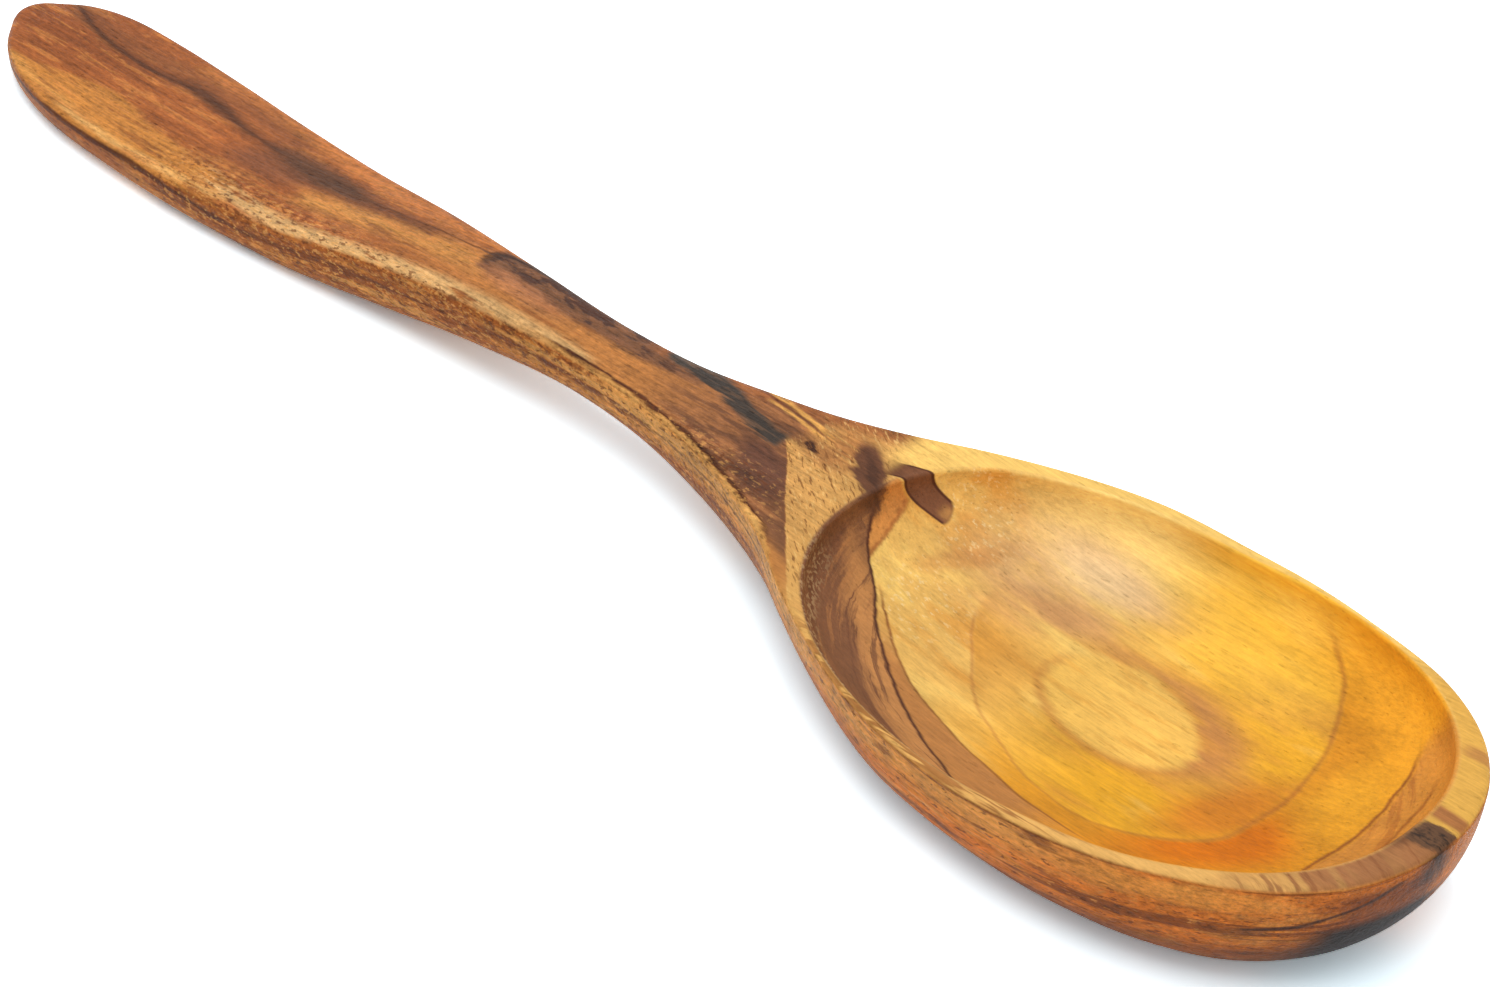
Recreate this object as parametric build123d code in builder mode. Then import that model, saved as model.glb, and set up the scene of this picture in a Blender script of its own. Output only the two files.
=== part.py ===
from build123d import *
import os
from math import atan2, cos, pi, sin, sqrt

# A cooking spoon carved from a single piece of wood, lying on its back as it does on a table.
# X runs along the spoon towards the bowl's tip, Z is up, and the origin is on the table under the
# middle of the spoon. Lengths are in millimetres.

# Lengths of the five stretches: from the handle's end to its widest place, on to the neck, on to
# the crest where the bowl begins, on to the bowl's widest place, and on to its tip
end_length = 30.0
shaft_length = 122.0
throat_length = 37.0
heel_length = 59.0
toe_length = 52.0

# Widths at those places, and how far the hand-carved centre line strays to the side
handle_width = 28.9
neck_width = 12.6
crest_width = 23.2
bowl_width = 64.4
wander = 2.6

# Heights above the table, seen from the side, and how much of the belly and of the handle is worn
# away flat where the spoon rests
handle_height = 6.3
neck_clearance = 8.2
neck_height = 15.5
crest_clearance = 6.0
crest_height = 17.3
rim_height = 16.4
tip_clearance = 12.4
tip_height = 22.7
worn_depth = 0.5

# Roundings: of the upper edge along the handle and round the bowl, and of both ends as seen from
# the side, where a small flat is left
handle_edge_radius = 1.3
rim_edge_radius = 0.9
end_rounding = 3.2
end_flat = 0.25

# Hollow of the bowl: its width and how far it reaches from the bowl's widest place, how much lower
# the rim dips at the sides than between heel and tip, and the wood left under the hollow
hollow_width = 60.6
hollow_heel_reach = 44.4
hollow_toe_reach = 47.4
rim_dip = 2.8
floor_thickness = 4.8
overrun = 6.0

# A section across the spoon: how wide its flat underside is along the handle and under the bowl,
# how square its flanks turn under, and how many knife cuts make a flank and an upper edge
handle_flat_share = 0.5
bowl_flat_share = 0.4
flank_squareness = 2.9
flank_cuts = 9
edge_cuts = 2

# The scoop: how full its egg outline is, how square it is in depth, and where its levels lie
# between the rim and the floor, as shares of a right angle
fullness_share = 0.63
scoop_squareness = 2.5
level_shares = (0.0, 0.18, 0.36, 0.54, 0.70, 0.84)

# Stations between the named places: how far along the stretch each one stands, how far the width,
# the top and the underside have gone there from the stretch's first value to its last, and how much
# of the wander it has
end_shares = (
    (0.0, 0.10, 0.0, 0.0, 1.0), (0.04, 0.23, 0.0, 0.0, 0.98), (0.115, 0.385, 0.0, 0.0, 0.93),
    (0.27, 0.63, 0.0, 0.0, 0.83), (0.54, 0.86, 0.0, 0.0, 0.56), (1.0, 1.0, 1.0, 1.0, 0.12),
)
shaft_shares = (
    (0.14, -0.01, 0.05, 0.0, -0.12), (0.30, 0.10, 0.15, 0.0, -0.28),
    (0.475, 0.34, 0.34, 0.07, -0.15), (0.65, 0.62, 0.66, 0.33, 0.02),
    (0.825, 0.86, 0.89, 0.73, 0.0), (1.0, 1.0, 1.0, 1.0, 0.0),
)
throat_shares = (
    (0.40, 0.10, 0.40, 0.18, 0.0), (0.72, 0.47, 0.85, 0.60, 0.0), (1.0, 1.0, 1.0, 1.0, 0.03),
)
heel_shares = (
    (0.163, 0.195, 0.16, 0.02, 0.12), (0.325, 0.465, 0.7, 0.26, 0.18),
    (0.50, 0.70, 1.25, 0.54, 0.22), (0.70, 0.905, 1.3, 0.87, 0.16), (1.0, 1.0, 1.0, 1.0, -0.05),
)
toe_shares = (
    (0.173, 0.02, 0.17, 0.0, -0.18), (0.43, 0.085, 0.39, 0.02, -0.25),
    (0.658, 0.205, 0.64, 0.14, -0.2), (0.829, 0.375, 0.815, 0.42, -0.14),
    (0.929, 0.57, 0.915, 0.70, -0.03), (0.977, 0.75, 0.97, 0.90, 0.12), (1.0, 0.89, 1.0, 1.0, 0.2),
)

# How finely the smooth sections are laid out: their spacing along the spoon
section_spacing = 8.0

total_length = end_length + shaft_length + throat_length + heel_length + toe_length
tail_x = -total_length / 2
widest_x = total_length / 2 - toe_length

# The named places, from the handle's end to the bowl's tip: half width, top and underside, then
# radius of the upper edge and width of the flat
handle_form = (handle_edge_radius, handle_flat_share)
bowl_form = (rim_edge_radius, bowl_flat_share)
places = (
    (0.0, handle_height, -worn_depth, *handle_form),
    (handle_width / 2, handle_height, -worn_depth, *handle_form),
    (neck_width / 2, neck_height, neck_clearance, *handle_form),
    (crest_width / 2, crest_height, crest_clearance, *bowl_form),
    (bowl_width / 2, rim_height, -worn_depth, *bowl_form),
    (0.0, tip_height, tip_clearance, *bowl_form),
)
stretches = (
    (end_length, end_shares),
    (shaft_length, shaft_shares),
    (throat_length, throat_shares),
    (heel_length, heel_shares),
    (toe_length, toe_shares),
)


def cross_section(x, half_width, top, underside, radius, flat_share, offset):
    """A face across the spoon at x: flat top, cut edges, flanks that turn under, flat underside."""
    reach = min(x - tail_x, tail_x + total_length - x, end_rounding - end_flat) + end_flat
    kept_share = sqrt(1 - (1 - reach / end_rounding) ** 2)
    middle = (top + underside) / 2
    half_thickness = (top - underside) / 2 * kept_share
    top, underside = middle + half_thickness, middle - half_thickness

    corner = radius * kept_share
    shoulder = top - corner
    inside = half_width - corner
    flat = flat_share * half_width
    side = []
    for cut in range(edge_cuts + 1):
        angle = pi / 2 * cut / edge_cuts
        side.append((inside + corner * sin(angle), shoulder + corner * cos(angle)))
    for cut in range(1, flank_cuts + 1):
        angle = pi / 2 * cut / flank_cuts
        out_share = max(cos(angle), 0.0) ** (2 / flank_squareness)
        down_share = sin(angle) ** (2 / flank_squareness)
        y = flat + (half_width - flat) * out_share
        side.append((y, shoulder - (shoulder - underside) * down_share))
    other_side = [(-y, z) for y, z in reversed(side)]

    across = Plane(origin=(x, offset, 0), x_dir=(0, 1, 0), z_dir=(1, 0, 0))
    with BuildSketch(across) as section:
        with BuildLine():
            Polyline(*side, *other_side, close=True)
        make_face()
    return section.sketch


def slopes(index):
    """How fast each size changes along the spoon at a station, from its neighbours' sizes."""
    before, here = stations[max(index - 1, 0)], stations[index]
    after = stations[min(index + 1, len(stations) - 1)]
    back, on = here[0] - before[0], after[0] - here[0]
    rates = []
    for low, middle, high in zip(before[1], here[1], after[1]):
        back_rate = (middle - low) / back if back else 0.0
        on_rate = (high - middle) / on if on else 0.0
        rates.append((back_rate * on + on_rate * back) / (back + on))
    return rates


def smooth_section(index, t):
    """The section at share t of the way from a station to the next, on a cubic through both."""
    (x, sizes), (next_x, next_sizes) = stations[index], stations[index + 1]
    gap = next_x - x
    from_here, from_next = (1 + 2 * t) * (1 - t) ** 2, t * t * (3 - 2 * t)
    out, back = t * (1 - t) ** 2 * gap, t * t * (t - 1) * gap
    blended = []
    for a, b, rate, next_rate in zip(sizes, next_sizes, slopes(index), slopes(index + 1)):
        blended.append(from_here * a + from_next * b + out * rate + back * next_rate)
    return cross_section(x + gap * t, *blended)


def hollow_level(angle_share):
    """The scoop's outline at one level, on a plane that rises from the heel to the tip."""
    angle = angle_share * pi / 2
    drawn_in = cos(angle) ** (2 / scoop_squareness)
    drop = (mouth_height - floor_thickness) * sin(angle) ** (2 / scoop_squareness)
    heel, toe = hollow_heel_reach * drawn_in, hollow_toe_reach * drawn_in
    side, fullness = hollow_width / 2 * drawn_in, fullness_share
    mouth = Plane(origin=(widest_x, 0, mouth_height), z_dir=(-sin(mouth_slope), 0, cos(mouth_slope)))
    with BuildSketch(mouth.offset(-drop)) as level:
        with BuildLine():
            Bezier((-heel, 0), (-heel, side * fullness), (-heel * fullness, side), (0, side))
            Bezier((0, side), (toe * fullness, side), (toe, side * fullness), (toe, 0))
            mirror(about=Plane.XZ)
        make_face()
    return level.sketch


# The mouth of the hollow: a plane laid over the crest and the tip, above the rim at the sides
mouth_height = rim_height + rim_dip
mouth_slope = atan2(tip_height - crest_height, heel_length + toe_length)

stations = []
stretch_x = tail_x
for (length, shares), first, last in zip(stretches, places, places[1:]):
    for along, across, up, under, astray in shares:
        gone = (across, up, under, along, along)
        sizes = [a + (b - a) * share for a, b, share in zip(first, last, gone)]
        stations.append((stretch_x + along * length, [*sizes, astray * wander]))
    stretch_x += length

# Sections at the stations near both ends, where the outline turns fast, and evenly spaced ones
# between, with their sizes on a smooth curve through the stations
sections = []
for index, (x, sizes) in enumerate(stations[:-1]):
    next_x = stations[index + 1][0]
    count = max(1, round((next_x - x) / section_spacing))
    for step in range(count):
        sections.append(smooth_section(index, step / count))
sections.append(cross_section(*stations[-1][:1], *stations[-1][1]))

levels = [hollow_level(share) for share in level_shares]

with BuildPart() as spoon:
    loft(sections)
    split(bisect_by=Plane.XY, keep=Keep.TOP)
    loft(levels, mode=Mode.SUBTRACT)
    extrude(levels[0], amount=overrun, mode=Mode.SUBTRACT)

spoon.part.label = "spoon"
os.makedirs("parts", exist_ok=True)
export_step(spoon.part, "parts/spoon.step")
print("spoon volume in cubic millimetres", round(spoon.part.volume), "faces", len(spoon.part.faces()))
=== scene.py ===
import math
import bmesh
import bpy
import mathutils
import numpy as np
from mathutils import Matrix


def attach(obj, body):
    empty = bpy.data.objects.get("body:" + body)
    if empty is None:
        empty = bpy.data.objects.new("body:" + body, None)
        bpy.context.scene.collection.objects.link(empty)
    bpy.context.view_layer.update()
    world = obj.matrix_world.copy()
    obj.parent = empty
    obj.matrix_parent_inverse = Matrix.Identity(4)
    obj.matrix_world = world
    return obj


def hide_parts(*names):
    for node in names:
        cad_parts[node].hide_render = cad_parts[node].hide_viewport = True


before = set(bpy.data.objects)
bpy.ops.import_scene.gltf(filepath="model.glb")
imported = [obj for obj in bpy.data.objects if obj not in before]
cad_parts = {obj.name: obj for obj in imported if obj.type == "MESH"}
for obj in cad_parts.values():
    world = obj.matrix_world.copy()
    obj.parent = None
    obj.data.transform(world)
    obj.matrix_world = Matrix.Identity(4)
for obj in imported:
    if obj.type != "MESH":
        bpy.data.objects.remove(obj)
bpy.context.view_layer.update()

# The camera stands at the bowl's near side and looks down along the handle, as the photograph does.
# Its place is in millimetres from the middle of the spoon on the table, and its angles are degrees.
camera_place = (262.3, -242.2, 275.1)
camera_azimuth = 43.46
camera_elevation = 38.95
camera_roll = 2.41
camera_lens = 72.0
camera_film_width = 36.0

turn, rise, roll = (math.radians(a) for a in (camera_azimuth, camera_elevation, camera_roll))
look = np.array([-math.sin(turn) * math.cos(rise), math.cos(turn) * math.cos(rise),
                 -math.sin(rise)])
level = np.array([math.cos(turn), math.sin(turn), 0.0])
upright = np.cross(level, look)
side = math.cos(roll) * level + math.sin(roll) * upright
upright = math.cos(roll) * upright - math.sin(roll) * level
pose = np.eye(4)
pose[:3, 0], pose[:3, 1], pose[:3, 2] = side, upright, -look
pose[:3, 3] = np.array(camera_place) / 1000
camera_data = bpy.data.cameras.new("camera")
camera_data.lens = camera_lens
camera_data.sensor_width = camera_film_width
camera_data.clip_start = 0.01
camera = bpy.data.objects.new("camera", camera_data)
bpy.context.scene.collection.objects.link(camera)
camera.matrix_world = mathutils.Matrix(pose.tolist())
bpy.context.scene.camera = camera
bpy.context.scene.view_settings.view_transform = "Standard"


# The spoon is one piece of wood, carved: a flat handle, a slim neck and an oval bowl whose hollow
# is scooped out of the same block. Sizes are in millimetres from the handle's end and the table.
spoon_length = 300.0
station = np.array([0, 1.2, 3.5, 8.1, 16.2, 30, 47, 66.6, 88, 109, 130.6, 152, 166.8, 178.6, 189,
                    198.6, 208.2, 218.5, 230.3, 248, 257, 270.4, 282.2, 291.1, 296.3, 298.8, 300])
half_width = np.array([0, 3.3, 5.55, 9.15, 12.4, 14.4, 14.5, 13.6, 11.7, 9.45, 7.5, 6.3, 6.9, 8.9,
                       11.6, 15.6, 21.2, 26.2, 30.2, 32.1, 31.7, 29.5, 25.6, 19.9, 13.7, 8.1, 0])
height = np.array([6.2, 6.2, 6.2, 6.3, 6.3, 6.3, 6.75, 7.7, 9.45, 12.4, 14.5, 15.5, 16.2, 17.0,
                   17.3, 17.15, 16.6, 16.1, 16.05, 16.4, 17.5, 18.9, 20.5, 21.4, 21.8, 21.9, 22.0])
clearance = np.array([1.0, 0.8, 0.5, 0.2, 0, 0, 0, 0, 0.1, 2.4, 5.9, 8.2, 7.8, 6.8, 5.9,
                      5.3, 4.6, 2.5, 0.4, 0, 0, 0.1, 0.6, 2.4, 3.6, 4.3, 4.6])
astray = np.array([2.6, 2.5, 2.4, 2.15, 1.45, 0.3, -0.3, -0.75, -0.4, 0.1, 0, 0, 0, 0, 0,
                   0.3, 0.45, 0.6, 0.4, -0.1, -0.5, -0.65, -0.5, -0.35, -0.1, 0.3, 0.4])
turn_under = np.array([2.8, 3.2, 3.6, 4.6, 6.0, 7.2, 7.2, 6.8, 5.8, 4.7, 3.8, 3.2, 3.6, 4.4, 5.2,
                       6.8, 13.0, 16.6, 17.5, 17.3, 16.6, 15.6, 14, 12, 10.8, 10.2, 10])
edge_radius = np.array([1.6, 1.6, 1.6, 1.5, 1.4, 1.3, 1.3, 1.3, 1.4, 1.6, 1.8, 1.8, 1.6, 1.4, 1.2,
                        1.0, 0.9, 0.8, 0.7, 0.7, 0.7, 0.8, 0.9, 0.9, 0.9, 0.9, 0.9])
flank_squareness = 2.8
toe_squareness = 2.3
toe_start = 272.0
handle_crown = 0.35


def along(values, x):
    """Cubic through the stations' values, taken over the angle whose cosine is the place, so that
    a width can start with a round end."""
    knots = np.arccos(1 - 2 * station / spoon_length)
    at = np.arccos(np.clip(1 - 2 * x / spoon_length, -1, 1))
    slopes = np.gradient(values, knots)
    k = np.clip(np.searchsorted(knots, at) - 1, 0, len(knots) - 2)
    gap = knots[k + 1] - knots[k]
    t = (at - knots[k]) / gap
    return ((1 + 2 * t) * (1 - t) ** 2 * values[k] + t * t * (3 - 2 * t) * values[k + 1]
            + t * (1 - t) ** 2 * gap * slopes[k] + t * t * (t - 1) * gap * slopes[k + 1])


columns = 300
phase = np.linspace(0, np.pi, columns)
column_x = spoon_length / 2 * (1 - np.cos(phase))
outline_x = np.concatenate([column_x, column_x[-2:0:-1]])
outline_side = np.concatenate([np.ones(columns), -np.ones(columns - 2)])
outline = np.stack([outline_x, along(astray, outline_x)
                    + outline_side * along(half_width, outline_x)], 1)
forward = np.roll(outline, -1, 0) - np.roll(outline, 1, 0)
forward /= np.linalg.norm(forward, axis=1)[:, None]
outward = np.stack([-forward[:, 1], forward[:, 0]], 1)


def wall(corner_rows=5, flank_rows=18):
    """The rounded upper edge and the flank, row by row below the outline: a quarter circle, then a
    superellipse that turns under. Each row is the outline moved inwards."""
    radius, turned = along(edge_radius, outline_x), along(turn_under, outline_x)
    square = flank_squareness + (toe_squareness - flank_squareness) * np.clip(
        (outline_x - toe_start) / (spoon_length - toe_start), 0, 1)
    rows = []
    for b in np.linspace(0, np.pi / 2, corner_rows):
        place = outline - outward * (radius * (1 - np.sin(b)))[:, None]
        z = along(height, place[:, 0]) - radius * (1 - np.cos(b))
        rows.append(np.column_stack([place, z]))
    for a in np.linspace(0, np.pi / 2, flank_rows)[1:]:
        inwards = turned * (1 - max(np.cos(a), 0) ** (2 / square))
        place = outline - outward * inwards[:, None]
        top = along(height, place[:, 0]) - radius
        under = np.maximum(along(clearance, place[:, 0]), 0)
        z = top - (top - under) * np.sin(a) ** (2 / square)
        rows.append(np.column_stack([place, z]))
    return np.array(rows)


def across(edge, count, crown):
    """Straight lines from each far point of an edge row to its near partner, with a low crown that
    is a parabola over the line."""
    far = edge[:columns]
    near = np.concatenate([edge[:1], edge[:columns - 1:-1], edge[columns - 1:columns]])
    t = np.linspace(0, 1, count)[:, None, None]
    lines = far + (near - far) * t
    lines[:, :, 2] += crown * (4 * t * (1 - t))[:, :, 0]
    return lines


hollow_middle = np.array([249.3, -0.4])
hollow_reach = np.array([45.6, 30.3])
hollow_roundness = 2.26
hollow_floor = 4.9
hollow_squareness = 2.2
lip_radius = 0.55


def hollow_size(place):
    """How far out a point lies in the hollow: 0 in the middle and 1 at its superellipse edge."""
    share = np.abs(place - hollow_middle) / hollow_reach
    return (share ** hollow_roundness).sum(-1) ** (1 / hollow_roundness)


def bowl_top(edge, start, count, scoop_rows=44, lip_rows=5, rim_rows=6):
    """The bowl seen from above, as rings round the hollow's middle: the scoop, a superellipse in
    depth, then the quarter-circle lip, then the flat rim out to the outline and, towards the
    handle, to a straight line across."""
    far, near = edge[start:columns], edge[columns:len(edge) - start + 1]
    t = np.linspace(0, 1, count)[1:-1, None]
    last_near, first_far = near[-1], far[0]
    ring = np.concatenate([far, near, last_near + (first_far - last_near) * t])
    outer = ring[:, :2]
    lip = hollow_middle + (outer - hollow_middle) / hollow_size(outer)[:, None]
    apart = np.linalg.norm(outer - lip, axis=1)
    away = (outer - lip) / apart[:, None]
    lip_top = along(height, lip[:, 0]) - lip_radius
    rings = []
    for a in np.linspace(0, np.pi / 2, scoop_rows):
        share = np.sin(a) ** (2 / hollow_squareness)
        place = hollow_middle + (lip - hollow_middle) * share
        depth = max(np.cos(a), 0) ** (2 / hollow_squareness)
        z = lip_top + (hollow_floor - lip_top) * depth
        rings.append(np.column_stack([place, z]))
    for b in np.linspace(0, np.pi / 2, lip_rows)[1:]:
        place = lip + away * lip_radius * (1 - np.cos(b))
        z = along(height, place[:, 0]) - lip_radius * (1 - np.sin(b))
        rings.append(np.column_stack([place, z]))
    for s in np.linspace(0, 1, rim_rows)[1:]:
        place = lip + away * (lip_radius + (apart - lip_radius) * s)[:, None]
        rings.append(np.column_stack([place, along(height, place[:, 0])]))
    return np.array(rings)


def sheet_faces(rows, wrap=False):
    """The quads of a grid of points, as rows of four corner numbers."""
    high, wide = rows.shape[:2]
    number = np.arange(high * wide).reshape(high, wide)
    if wrap:
        number = np.column_stack([number, number[:, 0]])
    return np.stack([number[:-1, :-1], number[:-1, 1:], number[1:, 1:], number[1:, :-1]],
                    -1).reshape(-1, 4)


# The handle's top ends at the heel, where the bowl's rings begin, and its crown dies out before
# the heel and at the handle's end.
heel_x = 192.0
crown_fades = 30.0
crown_starts = 8.0
lines_across = 25
belly_lines = 15
heel_column = int(np.searchsorted(column_x, heel_x))
walls = wall()
crown = handle_crown * np.clip((heel_x - column_x) / crown_fades, 0, 1)
crown *= np.clip(column_x / crown_starts, 0, 1)
handle_top = across(walls[0], lines_across, crown)[:, :heel_column + 1]
belly = across(walls[-1], belly_lines, np.zeros(columns))
bowl = bowl_top(walls[0], heel_column, lines_across)

points, faces, first = [], [], 0
for rows, wrap in ((walls, True), (handle_top, False), (belly, False), (bowl, True)):
    points.append(rows.reshape(-1, 3))
    faces.append(sheet_faces(rows, wrap) + first)
    first += points[-1].shape[0]
points, faces = np.concatenate(points), np.concatenate(faces)
points[:, 0] -= spoon_length / 2
same_place = 2e-6

mesh = bpy.data.meshes.new("carved_spoon")
mesh.from_pydata((points / 1000).tolist(), [], faces.tolist())
shell = bmesh.new()
shell.from_mesh(mesh)
bmesh.ops.remove_doubles(shell, verts=shell.verts, dist=same_place)
bmesh.ops.recalc_face_normals(shell, faces=shell.faces)
shell.to_mesh(mesh)
shell.free()
mesh.polygons.foreach_set("use_smooth", np.ones(len(mesh.polygons), dtype=bool))
carved_spoon = bpy.data.objects.new("carved_spoon", mesh)
bpy.context.scene.collection.objects.link(carved_spoon)

wood = bpy.data.materials.new("carved_wood")
wood.use_nodes = True
mesh.materials.append(wood)


class Tone:
    """A number or colour that varies over the wood. Arithmetic on it adds Math nodes."""

    tree = wood.node_tree

    def __init__(self, socket):
        self.socket = socket

    @classmethod
    def node(cls, kind, settings=None, inputs=None, output=0):
        """Adds one node: its settings first, then the values or links of its sockets."""
        made = cls.tree.nodes.new(kind)
        for name, value in (settings or {}).items():
            if name == "curve":
                points = made.mapping.curves[0].points
                points[0].location, points[1].location = value[0], value[-1]
                for place in value[1:-1]:
                    points.new(*place)
                made.mapping.update()
            else:
                setattr(made, name, value)
        for name, value in (inputs or {}).items():
            if isinstance(value, Tone):
                cls.tree.links.new(value.socket, made.inputs[name])
            else:
                made.inputs[name].default_value = value
        return cls(made.outputs[output])

    def math(self, operation, *others):
        return Tone.node("ShaderNodeMath", {"operation": operation},
                         dict(enumerate((self, *others))))

    def __add__(self, other):
        return self.math("ADD", other)

    __radd__ = __add__

    def __sub__(self, other):
        return self.math("SUBTRACT", other)

    def __rsub__(self, other):
        return Tone.node("ShaderNodeMath", {"operation": "SUBTRACT"}, {0: other, 1: self})

    def __mul__(self, other):
        return self.math("MULTIPLY", other)

    __rmul__ = __mul__

    def __truediv__(self, other):
        return self.math("DIVIDE", other)

    def __pow__(self, other):
        return self.math("POWER", other)

    def __abs__(self):
        return self.math("ABSOLUTE")

    def times_plus(self, by, more):
        return self.math("MULTIPLY_ADD", by, more)

    def least(self, other):
        return self.math("MINIMUM", other)

    def most(self, other):
        return self.math("MAXIMUM", other)


def fade(value, start, end):
    """0 up to start and 1 from end on, with a smooth step between; start may be the larger. The
    step ends by itself, and a clamp on each would fill the renderer's stack for one material."""
    low, high = min(start, end), max(start, end)
    return Tone.node("ShaderNodeMapRange", {"interpolation_type": "SMOOTHSTEP", "clamp": False},
                     {"Value": value, "From Min": low, "From Max": high,
                      "To Min": float(start > end), "To Max": float(start < end)})


def dye(red, green, blue):
    """A colour as it shows, each part from 0 to 255, turned to the linear light of a shader."""
    shown = np.array([red, green, blue]) / 255
    linear = np.where(shown < 0.04045, shown / 12.92, ((shown + 0.055) / 1.055) ** 2.4)
    return (*(float(part) for part in linear), 1.0)


def stain(under, colour, mask):
    """The colour laid over another where the mask is 1. Each stain's mask is worked out just
    before it, so that few values have to be kept at once."""
    return Tone.node("ShaderNodeMix", {"data_type": "RGBA"}, {0: mask, 6: under, 7: colour}, 2)


def stretched(place, scale, shift=(0, 0, 0)):
    """A place times the scale of each axis, after which it is moved by the shift."""
    return Tone.node("ShaderNodeMapping", {}, {"Vector": place, "Location": shift, "Scale": scale})


def cloud(place, scale, detail=2.0, roughness=0.5, shift=(0, 0, 0)):
    """Fractal noise from 0 to 1, stretched along the grain by its scale per millimetre."""
    return Tone.node("ShaderNodeTexNoise", {}, {"Vector": stretched(place, scale, shift),
                                                "Scale": 1.0, "Detail": detail,
                                                "Roughness": roughness})


def vector(operation, a, b):
    """Vector arithmetic on two places or colours."""
    return Tone.node("ShaderNodeVectorMath", {"operation": operation}, {0: a, 1: b})


def parts(place):
    """The x, y and z of a place."""
    split = Tone.node("ShaderNodeSeparateXYZ", {}, {0: place})
    return [Tone(out) for out in split.socket.node.outputs]


in_metres = Tone.node("ShaderNodeTexCoord", output=3)
grain = vector("MULTIPLY", in_metres, (1000, 1000, 1000))
x, y, z = parts(grain)

# Stains and streaks follow the grain, so their edges waver slowly along it and fray across it.
waver = cloud(grain, (0.035, 0.06, 0.1), 1.0)
ripple = cloud(grain, (0.03, 0.07, 0.07), 1.0, 0.5, (4, 4, 4))
fray = cloud(grain, (0.16, 0.9, 0.9), 2.0, 0.6, (7, 3, 1))
slow_x = x + (waver - 0.5) * 2.0
slow_y = y + (ripple - 0.5) * 1.6
bent_x = slow_x + (fray - 0.5) * 2.6
bent_y = slow_y + (fray - 0.5) * 1.1
bent = Tone.node("ShaderNodeCombineXYZ", {}, {0: bent_x, 1: bent_y, 2: z})


def spot(place, reach, turned=0.0, soft=0.45, on=(bent_x, bent_y)):
    """An ellipse over the spoon as seen from above: 1 inside, fading out round its edge."""
    run, rise = math.cos(math.radians(turned)), math.sin(math.radians(turned))
    shares = []
    for axis, half in (((run, rise), reach[0]), ((-rise, run), reach[1])):
        start = -(axis[0] * place[0] + axis[1] * place[1]) / half
        shares.append(on[0].times_plus(axis[0] / half, on[1].times_plus(axis[1] / half, start)))
    away = shares[0].times_plus(shares[0], shares[1] * shares[1]) ** 0.5
    return fade(away, 1 + soft, 1 - soft)


def curve_through(value, places, low, high):
    """A smooth curve through (place, height) pairs; its heights run from low to high."""
    start, end = places[0][0], places[-1][0]
    share = (value - start) / (end - start)
    shares = [((p - start) / (end - start), (h - low) / (high - low)) for p, h in places]
    drawn = Tone.node("ShaderNodeFloatCurve", {"curve": shares}, {"Value": share})
    return drawn * (high - low) + low


def streak(places, half, soft=0.5, across=bent_y, ends=3.0, lengthwise=bent_x):
    """A stripe along the grain through (x, y) places, in millimetres, fading out at both ends."""
    line = curve_through(lengthwise, places, -35, 35)
    away = abs(across - line)
    inside = fade(away, half + soft, max(half - soft, 0))
    start, end = places[0][0], places[-1][0]
    return inside * fade(x, start - ends, start + ends) * fade(x, end + ends, end - ends)


def near_of(places, soft):
    """1 on the near side of a line through (x, y) places and 0 beyond it."""
    return fade(curve_through(bent_x, places, -35, 35) - bent_y, -soft, soft)


# How high the top lies along the spoon tells the side walls from the top.
crest_line = [(-150, 6.2), (-120, 6.3), (-103, 6.75), (-83.4, 7.7), (-62, 9.45), (-41, 12.4),
              (-19.4, 14.5), (2, 15.5), (16.8, 16.2), (28.6, 17.0), (39, 17.3), (48.6, 17.15),
              (58.2, 16.6), (68.5, 16.1), (80.3, 16.05), (98, 16.4), (107, 17.5), (120.4, 18.9),
              (132.2, 20.5), (141.1, 21.4), (150, 22.0)]
below_top = curve_through(x, crest_line, 0, 35) - z

# Places in the hollow: an angle round its middle and how far out towards its lip. The hollow is
# what lies inside the lip and above a dish that rises towards it.
middle_x, middle_y = 98.5, -0.3
reach_x, reach_y = 44.8, 30.1
ring_x = (slow_x + (fray - 0.5) * 0.5 - middle_x) / reach_x
ring_y = (slow_y + (fray - 0.5) * 0.5 - middle_y) / reach_y
out_share = (ring_x * ring_x + ring_y * ring_y) ** 0.5
turned_share = ring_y.math("ARCTAN2", ring_x) / (2 * math.pi)
lip_x = abs((x - float(hollow_middle[0] - spoon_length / 2)) / float(hollow_reach[0]))
lip_y = abs((y - float(hollow_middle[1])) / float(hollow_reach[1]))
lip_share = (lip_x ** hollow_roundness + lip_y ** hollow_roundness) ** (1 / hollow_roundness)
in_hollow = fade(lip_share, 1.02, 1.005) * fade(z - lip_share ** 8 * 8.5, 2.5, 3.5)
outside_hollow = 1 - in_hollow
on_side = fade(below_top, 0.2, 0.8) * outside_hollow


def ring(places, start):
    """How far out a ring line lies at each angle, from (degrees, share) places that run round
    anticlockwise from the start angle."""
    turned = (turned_share - start / 360).math("WRAP", 1.0, 0.0) * 360
    return curve_through(turned, [(a - start, r) for a, r in places], 0, 1.2), turned


def ring_line(ring_places, half, soft):
    """A thin line that follows a ring between its first and last place."""
    places, start = ring_places
    radius, turned = ring(places, start)
    first, last = places[0][0] - start, places[-1][0] - start
    return (fade(abs(out_share - radius), half + soft, max(half - soft, 0))
            * fade(turned, first, first + 10) * fade(turned, last, last - 10))


def between(value, start, end, soft):
    """1 from start to end, fading out over the soft length at both."""
    return fade(value, start - soft, start + soft) * fade(value, end + soft, end - soft)


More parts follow.
